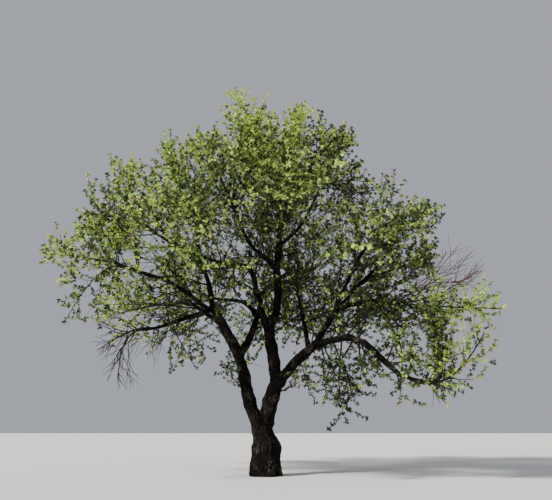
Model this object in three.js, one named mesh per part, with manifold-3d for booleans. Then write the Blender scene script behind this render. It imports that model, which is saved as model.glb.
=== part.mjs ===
// A service tree in young leaf: a short stout bole that forks into two stems, long crooked
// boughs and a broad, open crown.
// Millimetres, +Z up. X runs to the right and Y away from the viewer. The origin is the
// middle of the flat cut at ground level.

import * as THREE from 'three';
import { mergeVertices } from 'three/addons/utils/BufferGeometryUtils.js';
import Module from 'manifold-3d';

const wasm = await Module();
wasm.setup();

// Driving dimensions. Places in the tables below are shares of these two, in per cent.
const SPREAD = 8000; // reach of the crown from the trunk, for X and Y
const HEIGHT = 13500; // ground to the highest shoot, for Z

// Clearances
const SEAT = 0.3; // between a limb or stem and what carries it
const CLEAR = 12; // between a twig or spray and a limb
const SPACE_GAP = 10; // from the edge of a mass's space to its neighbour's

// Bole, from the ground to the crotch: height of each ring, its middle's place along X, and
// half its width and depth
const BOLE_RINGS = [
  [0, 0, 500, 465],
  [140, -5, 488, 454],
  [330, -5, 474, 441],
  [560, 20, 458, 426],
  [780, 44, 456, 420],
  [960, 35, 430, 390],
  [1060, -5, 385, 360],
  [1150, -45, 360, 335],
  [1300, -110, 345, 310],
  [1500, -140, 350, 290],
  [1700, -160, 360, 262],
];
const BOLE_SIDES = 20;
const ROOTS = 5; // swellings round the foot
const ROOT_SWELL = 0.09; // their height as a share of the reach there
const ROOT_FADE = 260; // height over which they die away
const RIBS = 7; // shallow ribs that run up the bole
const RIB_SWELL = 0.025;
const RIB_TURN = 1; // turns the ribs against the roots, in radians

// The bole's two arms, which end in flat seats for the stems
const LEFT_ARM = { foot: [-110, 0, 950], end: [-500, 20, 2150], radii: [215, 212] };
const RIGHT_ARM = { foot: [-110, 0, 950], end: [160, -20, 2150], radii: [225, 272] };
const ARM_SIDES = 12;

// Limbs
const LIMB_STEP = 580; // length of one straight stretch
const LEAST_STRETCHES = 5;
const TAPER = 1.25; // over 1 thins fast near the foot
const COLLAR = 0.3; // swelling where a bough leaves the side of its parent
const CROOK = 0.022; // sideways kinks as a share of a limb's length
const LIMB_SIDES = [ // by the radius at the foot from which a limb has so many sides
  { least: 150, sides: 10 },
  { least: 96, sides: 7 },
  { least: 0, sides: 6 },
];
const TIP_SHARE = 0.9; // past this share of its parent a limb counts as leaving the tip

// Foliage. A spray is one flat blade that stands for a shoot with its leaves.
const SPACE_MIDDLE = 0.45; // where a mass is widest, from its bough's end to its tip
const STEM_SIDES = 4;
const STEM_STRETCHES = 4;
const STEM_TAPER = 0.7; // radius at a stem's end as a share of that at its foot
const STEM_LEAD = 0.34; // how far a stem keeps its bough's heading, as a share of its length
const STEM_SHARE = 0.86; // how far along its mass the stem runs before its last spray
const STEM_SEATS = [ // by the number of stems on one bough: place off its middle, thickness
  { off: 0, foot: 0.8 },
  { off: 0.5, foot: 0.46 },
  { off: 0.55, foot: 0.42 },
];
const FEWEST_BRANCHES = 2;
const BRANCH_ROOM = 1.5e6; // half length times half width of a mass for each further branch
const BRANCH_FIRST = 0.16; // share of the stem below the lowest branch
const BRANCH_THICKNESS = 0.7; // of the stem's radius where the branch leaves it
const BRANCH_TAPER = 0.75; // radius at a branch's end as a share of that at its foot
const BRANCH_LEAST = 350; // a shorter branch is left out
const BRANCH_SPREAD = THREE.MathUtils.degToRad(66); // off the stem at its foot
const BRANCH_CLOSE = THREE.MathUtils.degToRad(26); // by how much that closes at its tip
const BRANCH_LIFT = 0.22; // upward turn
const SPRAY = { length: 1350, width: 740, thickness: 34 };
const FULL_SPACE = 1650; // half size of a mass whose sprays are full size; others scale with it
const SMALLEST_SCALE = 0.5;
const ROOT_SINK = 0.35; // how far past a twig's middle a root is sunk, in twig radii
const END_SINK = 0.9; // how far a root is sunk in a twig's end, in twig radii
const SPRAY_BROAD = 0.42; // where it is broadest
const SPRAY_SHARES = [0.4, 0.78]; // places along each branch, with one more at its tip
const SPRAY_SPREAD = THREE.MathUtils.degToRad(50); // off the branch
const CLOSE_SPREAD = 0.6; // share of that which is tried next
const SPRAY_LEAST = 0.45; // a spray that finds less room than this share is left out
const SPRAY_OVERHANG = 0.62; // share of the last spray that reaches past its branch
const BARE_TWIG = { length: 900, thickness: 0.65, taper: 0.5 };
const ROOT_FREE = 0.25; // share of a twig or spray that may lie close to its neighbours
const TWIG_SIDES = 3;
const SIDE_ANGLE = (2 * Math.PI) / TWIG_SIDES;
const TRIES = 6;
const GOLDEN_ANGLE = THREE.MathUtils.degToRad(137.5);
const UP = new THREE.Vector3(0, 0, 1);
const STEEP = 0.9; // rise of a unit heading past which the X axis helps to find what is square to it

// Stems and boughs: name, parent, share of the parent's length where it leaves, places that
// it passes, tip, and the radii at its foot and tip in millimetres
const LIMBS = [
  ['left_stem', LEFT_ARM, 0, [[-12.3, 1.2, 28]], [-22.5, -7.5, 38], 208, 150],
  ['centre_stem', RIGHT_ARM, 0, [[4.1, -0.3, 21.5], [1, 0.6, 32], [4.8, 0.6, 38.5]],
    [4, -0.6, 50], 268, 118],
  ['mid_left_limb', 'left_stem', 0.42, [[-8, 4.4, 30.1], [-4.2, 8.8, 36.6]], [-2.6, 15, 44.6], 132, 100],
  ['left_arch_bough', 'centre_stem', 0.49, [[-3.3, -1, 40], [-7, -4, 48.3], [-16, -12, 47.4]],
    [-29, -25, 48], 135, 50],
  ['right_bough', 'centre_stem', 0.17, [[13.2, -4.5, 25.2]], [20, -9, 28.5], 185, 135],
  ['right_low_bough', 'right_bough', 0.97, [[30.5, -14, 29.4]], [37.5, -19, 28], 120, 96],
  ['right_droop_bough', 'right_low_bough', 0.97, [[45.8, -20.8, 22.6], [50.3, -21.9, 20.3]],
    [57, -23.8, 19.1], 100, 56],
  ['right_up_limb', 'right_bough', 0.97, [[25.5, -4, 34]], [31, 0, 38.5], 110, 96],
  ['right_long_bough', 'right_up_limb', 0.97, [[44.5, 3, 40.8]], [57.5, 6, 40.8], 98, 60],
  ['right_high_bough', 'right_up_limb', 0.98, [[42, 6, 46.2]], [54, 9, 49.5], 78, 50],
  ['right_top_bough', 'right_high_bough', 0.5, [[52, 4, 52]], [59, 2.5, 59], 60, 45],
  ['right_front_bough', 'right_up_limb', 0.86, [[34, -16, 44.5]], [37.5, -29, 47.5], 72, 50],
  ['back_right_bough', 'right_bough', 0.8, [[16, 11, 39]], [15, 33, 48], 86, 55],
  ['leader_left', 'centre_stem', 0.97, [[-0.4, -4, 50.9], [-7, -10, 53.2]], [-12.5, -17.5, 60], 90, 58],
  ['leader_top', 'centre_stem', 0.98, [[5.5, 6, 59.5]], [6, 10, 69], 82, 55],
  ['front_bough', 'centre_stem', 0.86, [[6, -17, 52.5]], [7.5, -32.5, 56], 76, 50],
  ['upper_right_bough', 'leader_top', 0.3, [[16, 1.5, 62]], [24, -1, 71], 72, 50],
  ['left_crown_bough', 'left_stem', 0.98, [[-24.5, -6, 44], [-30, -6, 50]], [-45, -10, 55.5], 95, 56],
  ['upper_left_bough', 'left_crown_bough', 0.6, [[-30.5, -2, 56]], [-32.5, 2.5, 62], 70, 50],
  ['left_long_bough', 'left_stem', 0.9, [[-40, -7, 43.8]], [-59, -10, 47.5], 88, 52],
  ['bare_bough', 'left_stem', 0.96, [[-29.5, -14.5, 34.4], [-37.5, -19, 31.8]], [-46, -22, 30.5], 90, 48],
  ['left_back_bough', 'left_stem', 0.78, [[-35, 14, 41.5]], [-49, 30, 44], 86, 54],
  ['back_left_bough', 'mid_left_limb', 0.7, [[-11.2, 18, 43], [-25, 29, 45.3]], [-36, 42, 49], 84, 54],
  ['back_bough', 'mid_left_limb', 0.97, [[2, 22, 48.3]], [12, 36, 55], 84, 55],
];

// Masses: name, bough that carries it, furthest tip, half width in per cent of SPREAD, and
// whether it is in leaf
const MASSES = [
  ['top_left', 'leader_top', [-15, -10, 100.8], 18, true],
  ['top_right', 'leader_top', [17, -6, 96.8], 22, true],
  ['top_back', 'leader_top', [6, 44, 90], 26, true],
  ['top_front', 'leader_left', [-3, -41, 78.5], 24, true],
  ['upper_front_left', 'leader_left', [-27, -32, 77], 22, true],
  ['upper_left', 'upper_left_bough', [-48, -6, 85], 22, true],
  ['upper_back_left', 'upper_left_bough', [-45, 44, 79], 26, true],
  ['upper_left_outer', 'left_crown_bough', [-71, -4, 80], 13, true],
  ['left_mid_front', 'left_crown_bough', [-63, -48, 52], 22, true],
  ['left_far', 'left_long_bough', [-96.5, -8, 51.5], 14, true],
  ['left_mid', 'left_long_bough', [-80.5, 8, 65.5], 16, true],
  ['left_low_far', 'left_long_bough', [-80, -13, 33.5], 14, true],
  ['bare_high', 'bare_bough', [-62, -23, 25.5], 13, false],
  ['bare_low', 'bare_bough', [-50, -32, 18], 13, false],
  ['left_inner_front', 'left_arch_bough', [-37, -62, 50], 22, true],
  ['centre_front', 'front_bough', [10, -65, 56], 22, true],
  ['upper_front_right', 'front_bough', [28, -50, 71], 22, true],
  ['right_front', 'right_front_bough', [42, -62, 47], 22, true],
  ['right_mid_front', 'right_front_bough', [61, -42, 43], 20, true],
  ['upper_right', 'upper_right_bough', [38, -5, 87], 20, true],
  ['upper_right_outer', 'upper_right_bough', [49.5, 0, 74.5], 14, true],
  ['right_mid', 'right_top_bough', [80.5, 4, 67.5], 12, true],
  ['right_far', 'right_high_bough', [79.5, 16, 55.5], 17, true],
  ['dead_twigs', 'right_long_bough', [100, 10, 51], 13, false],
  ['right_low_far', 'right_long_bough', [103, 2, 38.5], 14, true],
  ['right_low_mid', 'right_droop_bough', [80, -30, 29.5], 13, true],
  ['right_low_up', 'right_droop_bough', [66, -8, 37], 16, true],
  ['right_under', 'back_right_bough', [38, 50, 16], 18, true],
  ['back_right', 'back_right_bough', [68, 58, 53], 28, true],
  ['upper_back_right', 'back_right_bough', [42, 46, 79], 26, true],
  ['back_mid', 'back_bough', [7, 86, 52], 28, true],
  ['back_low', 'back_bough', [-15, 68, 31], 22, true],
  ['back_left', 'back_left_bough', [-57, 66, 55], 28, true],
  ['left_back', 'left_back_bough', [-84, 38, 45], 26, true],
  ['left_inner_low', 'left_back_bough', [-36, 44, 26.5], 19, true],
];

const BARK = new THREE.MeshStandardMaterial({ color: 0x3a3029, roughness: 0.95, metalness: 0 });
const LEAVES = new THREE.MeshStandardMaterial({ color: 0x7f9440, roughness: 0.7, metalness: 0 });
const BARE = new THREE.MeshStandardMaterial({ color: 0x5b4438, roughness: 0.9, metalness: 0 });

// Small helpers

function vector(list) {
  return new THREE.Vector3(...list);
}

function place([across, away, up]) {
  return new THREE.Vector3(across * SPREAD, away * SPREAD, up * HEIGHT).divideScalar(100);
}

function along(from, heading, distance) {
  return from.clone().addScaledVector(heading, distance);
}

// Repeatable noise from 0 to 1
function chance(a, b, c) {
  const wave = Math.sin(a * 127.1 + b * 311.7 + c * 74.7) * 43758.5453;
  return wave - Math.floor(wave);
}

// A unit vector square to the heading, as near upright as can be
function squareTo(heading) {
  const helper = Math.abs(heading.z) > STEEP ? new THREE.Vector3(1, 0, 0) : UP;
  return helper.clone().addScaledVector(heading, -helper.dot(heading)).normalize();
}

// Turns the heading outwards by a spread angle, in the direction given by a roll about it
function turned(heading, spread, roll) {
  const out = squareTo(heading).applyAxisAngle(heading, roll);
  return heading.clone().multiplyScalar(Math.cos(spread)).addScaledVector(out, Math.sin(spread));
}

// Solids

// Closed skin over rings of equally many points, each ring running to the right about the
// heading, with a flat cap at each end
function skin(rings) {
  const sides = rings[0].length;
  const index = [];
  for (let i = 0; i + 1 < rings.length; i += 1) {
    for (let k = 0; k < sides; k += 1) {
      const next = (k + 1) % sides;
      const here = i * sides;
      const above = here + sides;
      index.push(here + k, here + next, above + next, here + k, above + next, above + k);
    }
  }
  const last = (rings.length - 1) * sides;
  for (let k = 1; k + 1 < sides; k += 1) {
    index.push(0, k + 1, k, last, last + k, last + k + 1);
  }
  const geometry = new THREE.BufferGeometry().setFromPoints(rings.flat());
  geometry.setIndex(index);
  return toSolid(geometry);
}

function toSolid(geometry) {
  const merged = mergeVertices(geometry);
  const vertProperties = new Float32Array(merged.attributes.position.array);
  const triVerts = new Uint32Array(merged.index.array);
  return new wasm.Manifold(new wasm.Mesh({ numProp: 3, vertProperties, triVerts }));
}

// Drops loose scraps and the walls of sealed hollows
function largestPiece(solid) {
  const pieces = solid.decompose();
  return pieces.reduce((best, piece) => (piece.volume() > best.volume() ? piece : best));
}

function toMesh(name, solid, material) {
  const { vertProperties, triVerts } = largestPiece(solid).getMesh();
  const indexed = new THREE.BufferGeometry();
  indexed.setAttribute('position', new THREE.BufferAttribute(vertProperties, 3));
  indexed.setIndex(new THREE.BufferAttribute(triVerts, 1));
  const geometry = indexed.toNonIndexed();
  geometry.computeVertexNormals();
  const mesh = new THREE.Mesh(geometry, material);
  mesh.name = name;
  return mesh;
}

// Ring of points about a middle
function ring(middle, heading, across, radius, sides) {
  const side = heading.clone().cross(across);
  return Array.from({ length: sides }, (_, k) => {
    const angle = (2 * Math.PI * k) / sides;
    const out = across.clone().multiplyScalar(Math.cos(angle)).addScaledVector(side, Math.sin(angle));
    return along(middle, out, radius);
  });
}

// Tapering tube along a path, made larger all round, and longer, by grow
function tube({ points, radii, headings }, sides, grow = 0) {
  const last = points.length - 1;
  let across = squareTo(headings[0]);
  const rings = points.map((point, i) => {
    const heading = headings[i];
    const push = { 0: -grow, [last]: grow }[i] ?? 0;
    across = across.clone().addScaledVector(heading, -across.dot(heading)).normalize();
    return ring(along(point, heading, push), heading, across, radii[i] + grow, sides);
  });
  return skin(rings);
}

function headingsAlong(points, first) {
  return points.map((point, i) => {
    if (i === 0 && first) return first;
    const before = points[Math.max(i - 1, 0)];
    const after = points[Math.min(i + 1, points.length - 1)];
    return after.clone().sub(before).normalize();
  });
}

// Trunk

function armHeading(arm) {
  return vector(arm.end).sub(vector(arm.foot)).normalize();
}

function armSolid(arm) {
  const points = [vector(arm.foot), vector(arm.end)];
  const heading = armHeading(arm);
  return tube({ points, radii: arm.radii, headings: [heading, heading] }, ARM_SIDES);
}

function boleSolid() {
  const rings = BOLE_RINGS.map(([height, middle, halfWidth, halfDepth]) => {
    const fade = Math.exp(-height / ROOT_FADE);
    return Array.from({ length: BOLE_SIDES }, (_, k) => {
      const angle = (2 * Math.PI * k) / BOLE_SIDES;
      const roots = ROOT_SWELL * fade * Math.cos(ROOTS * angle);
      const ribs = RIB_SWELL * Math.cos(RIBS * angle + RIB_TURN);
      const swell = 1 + roots + ribs;
      const x = middle + halfWidth * swell * Math.cos(angle);
      return new THREE.Vector3(x, halfDepth * swell * Math.sin(angle), height);
    });
  });
  return skin(rings);
}

// Limbs

function limbStart(parent, share, made) {
  if (typeof parent !== 'string') {
    const heading = armHeading(parent);
    return { start: along(vector(parent.end), heading, SEAT), heading };
  }
  const { points } = made.get(parent);
  const step = share * (points.length - 1);
  const i = Math.min(Math.floor(step), points.length - 2);
  return { start: points[i].clone().lerp(points[i + 1], step - i), heading: null };
}

function limbRoute([, parent, share, via, tip, foot, end], order, made) {
  const { start, heading } = limbStart(parent, share, made);
  const stops = [start, ...via.map(place), place(tip)];
  const curve = new THREE.CatmullRomCurve3(stops, false, 'catmullrom');
  const length = start.distanceTo(place(tip));
  const stretches = Math.max(LEAST_STRETCHES, Math.round(length / LIMB_STEP));
  const fromSide = typeof parent === 'string' && share < TIP_SHARE;
  const points = [];
  const radii = [];
  for (let i = 0; i <= stretches; i += 1) {
    const t = i / stretches;
    const kink = CROOK * length * Math.sin(Math.PI * t);
    const point = curve.getPoint(t);
    point.x += kink * (chance(order, i, 1) - 0.5);
    point.y += kink * (chance(order, i, 2) - 0.5);
    point.z += kink * (chance(order, i, 3) - 0.5);
    points.push(point);
    const collar = fromSide && i === 0 ? COLLAR : 0;
    radii.push((end + (foot - end) * (1 - t) ** TAPER) * (1 + collar));
  }
  return { points, radii, headings: headingsAlong(points, heading) };
}

function limbSides(foot) {
  return LIMB_SIDES.find(({ least }) => foot >= least).sides;
}

// Spaces. Each mass keeps to an egg-shaped space, cut flat where it meets its neighbours.

function spaceOf([name, bough, tip, width, leafy]) {
  const start = limbs.get(bough).points.at(-1);
  const end = place(tip);
  const axis = end.clone().sub(start).normalize();
  const length = start.distanceTo(end);
  const middle = along(start, axis, SPACE_MIDDLE * length);
  const half = (1 - SPACE_MIDDLE) * length;
  const halfWidth = (width * SPREAD) / 100;
  const size = Math.sqrt(half * halfWidth) / FULL_SPACE;
  const scale = THREE.MathUtils.clamp(size, SMALLEST_SCALE, 1);
  const shape = { start, end, axis, length, middle, half, halfWidth, scale };
  return { name, bough, leafy, ...shape, walls: [], grown: [] };
}

// How far a space reaches from its middle along a heading
function extent({ axis, half, halfWidth }, heading) {
  const lengthwise = heading.dot(axis);
  return Math.hypot(half * lengthwise, halfWidth * Math.sqrt(1 - lengthwise ** 2));
}

function raiseWall(one, other) {
  const between = other.middle.clone().sub(one.middle);
  const distance = between.length();
  const heading = between.normalize();
  const reach = extent(one, heading);
  const share = reach / (reach + extent(other, heading));
  const meeting = along(one.middle, heading, share * distance);
  const back = heading.clone().negate();
  const nearSide = along(meeting, heading, -SPACE_GAP / 2);
  const farSide = along(meeting, heading, SPACE_GAP / 2);
  one.walls.push(new THREE.Plane().setFromNormalAndCoplanarPoint(back, nearSide));
  other.walls.push(new THREE.Plane().setFromNormalAndCoplanarPoint(heading, farSide));
}

// A place or heading in the measure in which the space is a ball of radius 1
function inBall({ axis, half, halfWidth }, free) {
  const lengthwise = free.dot(axis);
  const crosswise = along(free, axis, -lengthwise);
  return along(crosswise.divideScalar(halfWidth), axis, lengthwise / half);
}

function isInside(space, point) {
  const fromMiddle = inBall(space, point.clone().sub(space.middle));
  return fromMiddle.length() <= 1 && space.walls.every((wall) => wall.distanceToPoint(point) >= 0);
}

// Distance from a point inside to the edge of the space along a heading
function roomAlong(space, point, heading) {
  const from = inBall(space, point.clone().sub(space.middle));
  const step = inBall(space, heading);
  const a = step.lengthSq();
  const b = from.dot(step);
  const toShell = (-b + Math.sqrt(Math.max(0, b * b - a * (from.lengthSq() - 1)))) / a;
  const toWalls = space.walls.map((wall) => {
    const closing = -wall.normal.dot(heading);
    return closing > 0 ? wall.distanceToPoint(point) / closing : Infinity;
  });
  return Math.min(toShell, ...toWalls);
}

// Limbs and stems that twigs keep clear of

function bodyLines(owner, { points, radii }) {
  return points.slice(1).map((point, i) => (
    { owner, line: new THREE.Line3(points[i], point), radius: Math.max(radii[i], radii[i + 1]) }
  ));
}

function isClear(lines, bodies) {
  return lines.every((line) => bodies.every(
    (body) => line.distanceSqToLine3(body.line) > (body.radius + CLEAR) ** 2,
  ));
}

// Stems

// Seats stand evenly round the bough's end, in the order in which their masses lie round it
function seatStems(bough, spaces) {
  const { points, radii, headings } = limbs.get(bough);
  const heading = headings.at(-1);
  const across = squareTo(heading);
  const side = heading.clone().cross(across);
  const angleOf = ({ axis }) => Math.atan2(axis.dot(side), axis.dot(across));
  const ordered = [...spaces].sort((one, other) => angleOf(one) - angleOf(other));
  const { off, foot } = STEM_SEATS[spaces.length - 1];
  ordered.forEach((space, i) => {
    const angle = angleOf(ordered[0]) + (2 * Math.PI * i) / spaces.length;
    const out = across.clone().applyAxisAngle(heading, angle);
    const seat = along(along(points.at(-1), heading, SEAT), out, off * radii.at(-1));
    space.stem = stemRoute(space, seat, heading, foot * radii.at(-1));
  });
}

function stemRoute({ start, end, length }, seat, heading, foot) {
  const lead = along(seat, heading, STEM_LEAD * length);
  const goal = start.clone().lerp(end, STEM_SHARE);
  const points = new THREE.QuadraticBezierCurve3(seat, lead, goal).getPoints(STEM_STRETCHES);
  const radii = points.map((_, i) => foot * (1 - ((1 - STEM_TAPER) * i) / STEM_STRETCHES));
  return { points, radii, headings: headingsAlong(points, heading) };
}

// Place, heading and radius at a share of a route's length, with how far a root is sunk there
function onRoute({ points, radii }, share) {
  const step = share * (points.length - 1);
  const i = Math.min(Math.floor(step), points.length - 2);
  const heading = points[i + 1].clone().sub(points[i]).normalize();
  const radius = THREE.MathUtils.lerp(radii[i], radii[i + 1], step - i);
  const point = points[i].clone().lerp(points[i + 1], step - i);
  return { point, heading, radius, sink: ROOT_SINK * radius };
}

function endOf({ points, radii, headings }) {
  const radius = radii.at(-1);
  return { point: points.at(-1), heading: headings.at(-1), radius, sink: END_SINK * radius };
}

// Twigs and sprays. Each finder tries a few rolls about its parent until one keeps to the
// space and clear of the limbs and of what has grown, and gives null where none does.

function straightTwig(from, heading, length, thickness, taper) {
  const points = [along(from.point, heading, -from.sink), along(from.point, heading, length)];
  const foot = from.radius * thickness;
  return { points, radii: [foot, foot * taper], headings: [heading, heading] };
}

// A line without the part near its root, which may pass close to other twigs
function farPart([root, tip]) {
  return new THREE.Line3(root.clone().lerp(tip, ROOT_FREE), tip);
}

function findBranch(space, bodies, from, spread, roll) {
  for (let turn = 0; turn < TRIES; turn += 1) {
    const out = turned(from.heading, spread, roll + turn * GOLDEN_ANGLE);
    const heading = along(out, UP, BRANCH_LIFT).normalize();
    const overhang = SPRAY_OVERHANG * SPRAY.length * space.scale;
    const length = roomAlong(space, from.point, heading) - overhang;
    const twig = straightTwig(from, heading, length, BRANCH_THICKNESS, BRANCH_TAPER);
    const isFree = isClear([new THREE.Line3(...twig.points)], bodies)
      && isClear([farPart(twig.points)], space.grown);
    if (length >= BRANCH_LEAST * space.scale && isFree) {
      space.grown.push(...bodyLines(space.name, twig));
      return twig;
    }
  }
  return null;
}

function sprayCorners(from, heading, size, roll) {
  const across = turned(heading, Math.PI / 2, roll);
  const thick = heading.clone().cross(across);
  const root = along(from.point, heading, -from.sink);
  const tip = along(root, heading, SPRAY.length * size);
  const broad = root.clone().lerp(tip, SPRAY_BROAD);
  const halfWidth = (SPRAY.width * size) / 2;
  const halfThickness = SPRAY.thickness / 2;
  return {
    root,
    tip,
    rim: [
      along(broad, across, halfWidth),
      along(broad, thick, halfThickness),
      along(broad, across, -halfWidth),
      along(broad, thick, -halfThickness),
    ],
  };
}

function spraySolid({ root, tip, rim }) {
  const geometry = new THREE.BufferGeometry().setFromPoints([root, ...rim, tip]);
  geometry.setIndex(rim.flatMap((_, k) => {
    const here = k + 1;
    const next = ((k + 1) % rim.length) + 1;
    return [0, next, here, rim.length + 1, here, next];
  }));
  return toSolid(geometry);
}

// The headings to try from a twig's foot or side: its flat sides in turn, wide and then close
function sideHeadings(from, spread, side) {
  return Array.from({ length: TRIES }, (_, turn) => {
    const roll = (side + turn + 0.5) * SIDE_ANGLE;
    return turned(from.heading, turn < TWIG_SIDES ? spread : spread * CLOSE_SPREAD, roll);
  });
}

function findSpray(space, bodies, from, headings, face) {
  for (const [turn, heading] of headings.entries()) {
    const size = Math.min(space.scale, roomAlong(space, from.point, heading) / SPRAY.length);
    const corners = sprayCorners(from, heading, size, face + turn * GOLDEN_ANGLE);
    const { root, tip, rim } = corners;
    const middle = farPart([root, tip]);
    const width = new THREE.Line3(rim[0], rim[2]);
    const outline = [[root, rim[0]], [root, rim[2]], [rim[0], tip], [rim[2], tip]].map(farPart);
    const fits = size >= SPRAY_LEAST * space.scale
      && [tip, ...rim].every((corner) => isInside(space, corner));
    const all = [new THREE.Line3(root, tip), width, ...outline];
    if (fits && isClear(all, bodies) && isClear([middle, width, ...outline], space.grown)) {
      space.grown.push({ line: middle, radius: CLEAR }, { line: width, radius: CLEAR });
      return spraySolid(corners);
    }
  }
  return null;
}

function findBareTwig(space, bodies, from, headings) {
  for (const heading of headings) {
    const longest = BARE_TWIG.length * space.scale;
    const length = Math.min(longest, roomAlong(space, from.point, heading));
    const twig = straightTwig(from, heading, length, BARE_TWIG.thickness, BARE_TWIG.taper);
    const isFree = isClear([new THREE.Line3(...twig.points)], bodies)
      && isClear([farPart(twig.points)], space.grown);
    if (length >= SPRAY_LEAST * longest && isFree) {
      space.grown.push(...bodyLines(space.name, twig));
      return tube(twig, TWIG_SIDES);
    }
  }
  return null;
}

// One mass: a stem, branches up it at the golden angle, and sprays along each branch
function massSolid(space, bodies, order) {
  const { stem, half, halfWidth, leafy } = space;
  const branches = FEWEST_BRANCHES + Math.round((half * halfWidth) / BRANCH_ROOM);
  const parts = [tube(stem, STEM_SIDES)];
  const grow = (from, headings, face) => {
    const find = leafy ? findSpray : findBareTwig;
    const found = find(space, bodies, from, headings, face);
    if (found) parts.push(found);
  };
  const growEnd = (route, face) => {
    const from = endOf(route);
    grow(from, Array(TRIES).fill(from.heading), face);
  };
  growEnd(stem, order);
  for (let k = 0; k < branches; k += 1) {
    const share = BRANCH_FIRST + ((1 - BRANCH_FIRST) * (k + chance(order, k, 1))) / branches;
    const spread = BRANCH_SPREAD - BRANCH_CLOSE * share;
    const roll = k * GOLDEN_ANGLE + 2 * Math.PI * chance(order, 0, 2);
    const branch = findBranch(space, bodies, onRoute(stem, share), spread, roll);
    if (branch) {
      parts.push(tube(branch, TWIG_SIDES));
      growEnd(branch, roll);
      SPRAY_SHARES.forEach((sprayShare, j) => {
        const side = j + Math.floor(TWIG_SIDES * chance(order, k, 3));
        const from = onRoute(branch, sprayShare);
        grow(from, sideHeadings(from, SPRAY_SPREAD, side), Math.PI * chance(order, k, j));
      });
    }
  }
  return parts.reduce((joined, part) => joined.add(part));
}

const tree = new THREE.Group();
const trunk = boleSolid().add(armSolid(LEFT_ARM)).add(armSolid(RIGHT_ARM));
tree.add(toMesh('trunk', trunk, BARK));

const limbs = new Map();
const grown = [];
LIMBS.forEach((row, order) => {
  const [name, , , , , foot] = row;
  const route = limbRoute(row, order, limbs);
  limbs.set(name, route);
  const sides = limbSides(foot);
  const whole = tube(route, sides);
  const cut = grown.reduce((solid, other) => solid.subtract(other), whole);
  tree.add(toMesh(name, cut, BARK));
  grown.push(tube(route, sides, SEAT));
});

const spaces = MASSES.map(spaceOf);
spaces.forEach((one, i) => spaces.slice(i + 1).forEach((other) => raiseWall(one, other)));
limbs.forEach((_, bough) => {
  const carried = spaces.filter((space) => space.bough === bough);
  if (carried.length > 0) seatStems(bough, carried);
});
const limbBodies = [...limbs].flatMap(([name, route]) => bodyLines(name, route));
const stemBodies = spaces.flatMap(({ name, stem }) => bodyLines(name, stem));
spaces.forEach((space, order) => {
  const bodies = [...limbBodies, ...stemBodies].filter(({ owner }) => owner !== space.name);
  const material = space.leafy ? LEAVES : BARE;
  tree.add(toMesh(space.name, massSolid(space, bodies, order), material));
});

export default tree;
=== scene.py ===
import math

import bpy
import numpy as np
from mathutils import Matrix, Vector, noise


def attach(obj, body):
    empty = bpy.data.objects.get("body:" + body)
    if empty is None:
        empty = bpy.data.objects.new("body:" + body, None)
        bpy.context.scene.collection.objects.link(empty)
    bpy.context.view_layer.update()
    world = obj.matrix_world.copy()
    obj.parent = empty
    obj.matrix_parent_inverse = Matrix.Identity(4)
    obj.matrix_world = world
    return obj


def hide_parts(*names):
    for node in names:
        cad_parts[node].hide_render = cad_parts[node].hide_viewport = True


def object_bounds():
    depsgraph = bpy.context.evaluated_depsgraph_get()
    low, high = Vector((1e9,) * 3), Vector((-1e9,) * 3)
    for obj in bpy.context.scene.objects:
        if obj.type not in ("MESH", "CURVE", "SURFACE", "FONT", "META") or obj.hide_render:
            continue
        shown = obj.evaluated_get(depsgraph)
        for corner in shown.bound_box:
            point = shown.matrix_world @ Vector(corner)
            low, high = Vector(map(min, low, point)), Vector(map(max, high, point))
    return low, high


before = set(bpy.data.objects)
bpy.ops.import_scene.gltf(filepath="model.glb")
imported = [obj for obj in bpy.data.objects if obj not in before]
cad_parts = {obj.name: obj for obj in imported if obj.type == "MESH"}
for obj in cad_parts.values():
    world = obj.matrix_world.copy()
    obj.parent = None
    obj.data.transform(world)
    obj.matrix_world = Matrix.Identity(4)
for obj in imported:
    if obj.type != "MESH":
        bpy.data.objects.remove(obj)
cad_low, cad_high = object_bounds()

# Driving dimensions, as in the part's source. Places in the tables below are shares of these
# two, in per cent.
SPREAD = 8.0
HEIGHT = 13.5

UP = np.array([0.0, 0.0, 1.0])
ACROSS = np.array([1.0, 0.0, 0.0])
GOLDEN_ANGLE = math.radians(137.5)
STEEP = 0.9  # rise of a unit heading past which the X axis helps to find what is square to it
LEAST_SLANT = 0.01  # part of a unit heading along an axis, below which it counts as square to it

# Repeatable noise: steps of its wave for three numbers, and the wave's height
NOISE_STEPS = (127.1, 311.7, 74.7)
NOISE_SCALE = 43758.5453

# Bole, from the ground to the crotch: height of each ring, its middle's place along X, and
# half its width and depth
BOLE_RINGS = [
    (0.0, 0.0, 0.5, 0.465),
    (0.14, -0.005, 0.488, 0.454),
    (0.33, -0.005, 0.474, 0.441),
    (0.56, 0.02, 0.458, 0.426),
    (0.78, 0.044, 0.456, 0.42),
    (0.96, 0.035, 0.43, 0.39),
    (1.06, -0.005, 0.385, 0.36),
    (1.15, -0.045, 0.36, 0.335),
    (1.3, -0.11, 0.345, 0.31),
    (1.5, -0.14, 0.35, 0.29),
    (1.7, -0.16, 0.36, 0.262),
]
BOLE_SIDES = 72
BOLE_RING_STEP = 0.04
ROOTS = 5  # swellings round the foot
ROOT_SWELL = 0.09
ROOT_FADE = 0.26
RIBS = 7
RIB_SWELL = 0.025
RIB_TURN = 1.0
BOLE_LINE = [(0, 0, 0), (0.03, 0, 0.7), (-0.14, 0, 1.5)]  # its middle line, for the bark
BOLE_LINE_RADII = [0.5, 0.46, 0.34]

# The bole's two arms: foot, end and radii
LEFT_ARM = ((-0.11, 0, 0.95), (-0.5, 0.02, 2.15), (0.215, 0.212))
RIGHT_ARM = ((-0.11, 0, 0.95), (0.16, -0.02, 2.15), (0.225, 0.272))

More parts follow.
